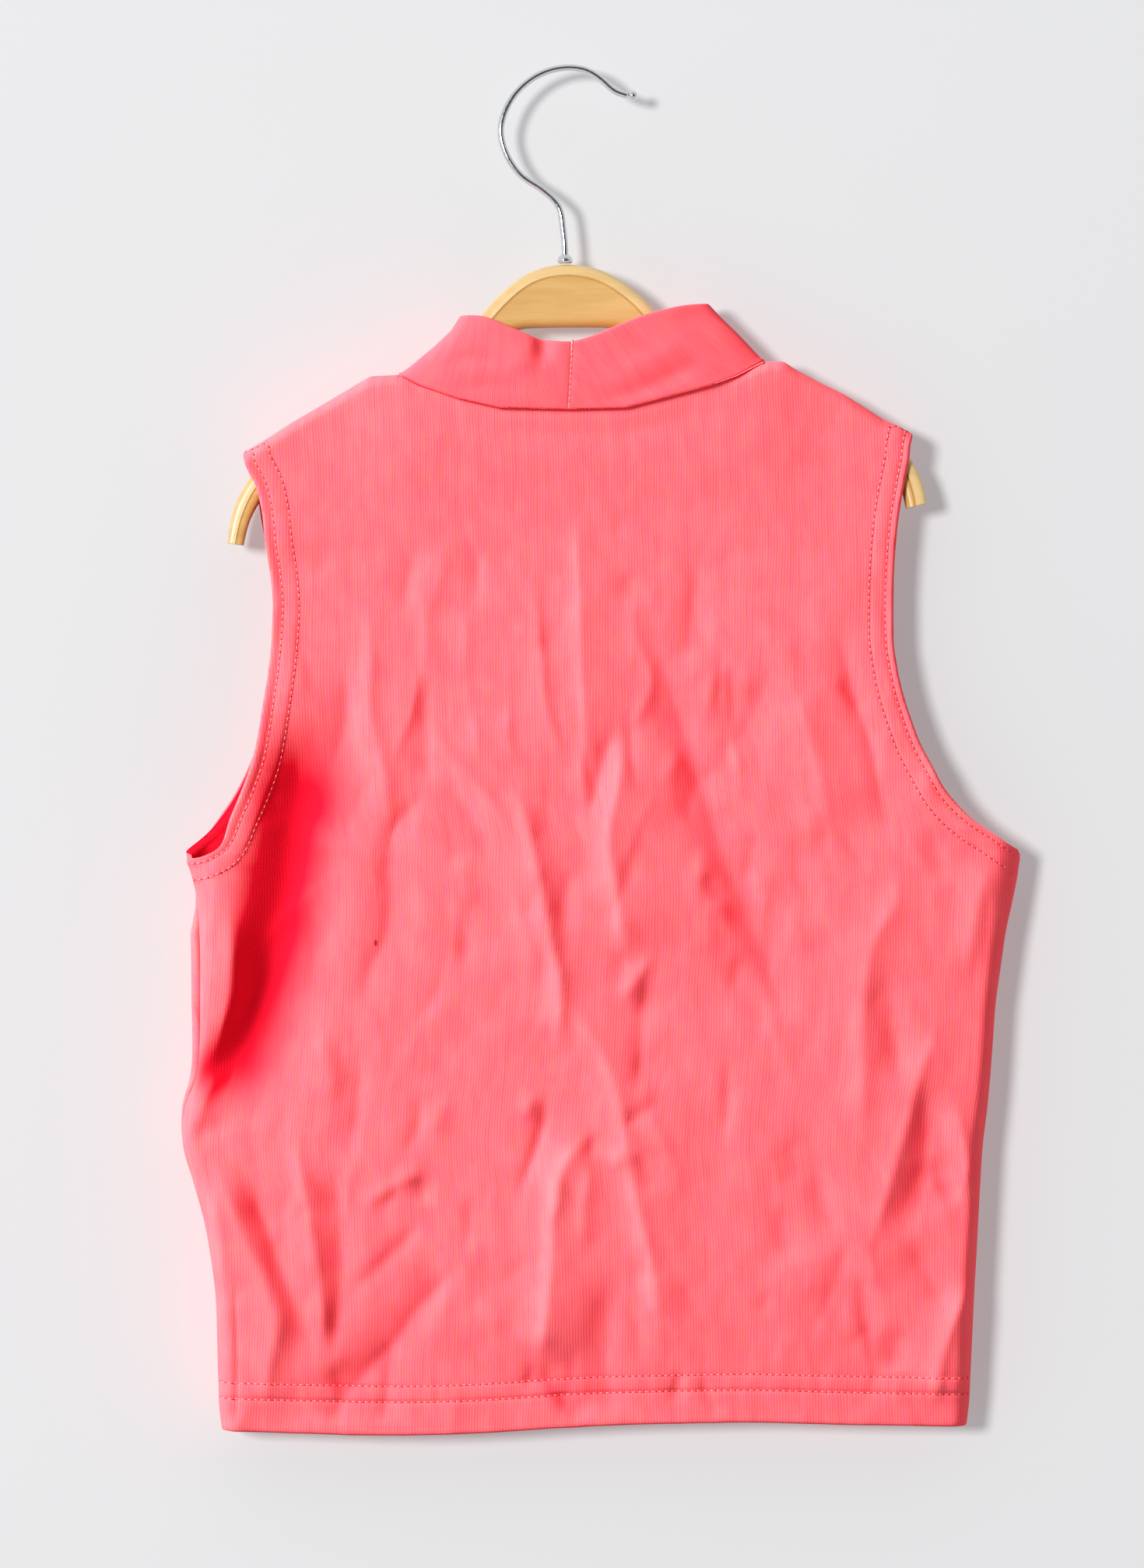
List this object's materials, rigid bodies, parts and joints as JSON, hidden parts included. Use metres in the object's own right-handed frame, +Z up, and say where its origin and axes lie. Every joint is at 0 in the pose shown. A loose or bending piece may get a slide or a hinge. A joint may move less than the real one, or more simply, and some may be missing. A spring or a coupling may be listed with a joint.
{
  "type": "sleeveless mock-neck top on a hanger",
  "caption": "Child's sleeveless cropped jersey top with a folded stand-up collar, hanging on a flat hanger with a wire hook.",
  "frame": {"origin": "the inside top of the hook's bend, where it rests on a rail", "axes": "+Z up; +X to the right of someone who looks at the garment's back; the garment's front faces +Y and its back -Y"},
  "size_m": [0.3352, 0.034, 0.5479],
  "materials": {
    "jersey": "matt fine-wale cotton jersey, coral pink",
    "collar_jersey": "matt fine-wale cotton jersey, coral pink, folded double",
    "board_wood": "satin pale straw wood look",
    "hook_chrome": "polished"
  },
  "bodies": {
    "root": {"back_panel": "jersey", "front_panel": "jersey", "collar_band": "collar_jersey", "hanger_board": "board_wood", "hook_wire": "hook_chrome", "hook_ferrule": "hook_chrome", "hook_tip": "hook_chrome"}
  },
  "joints": []
}
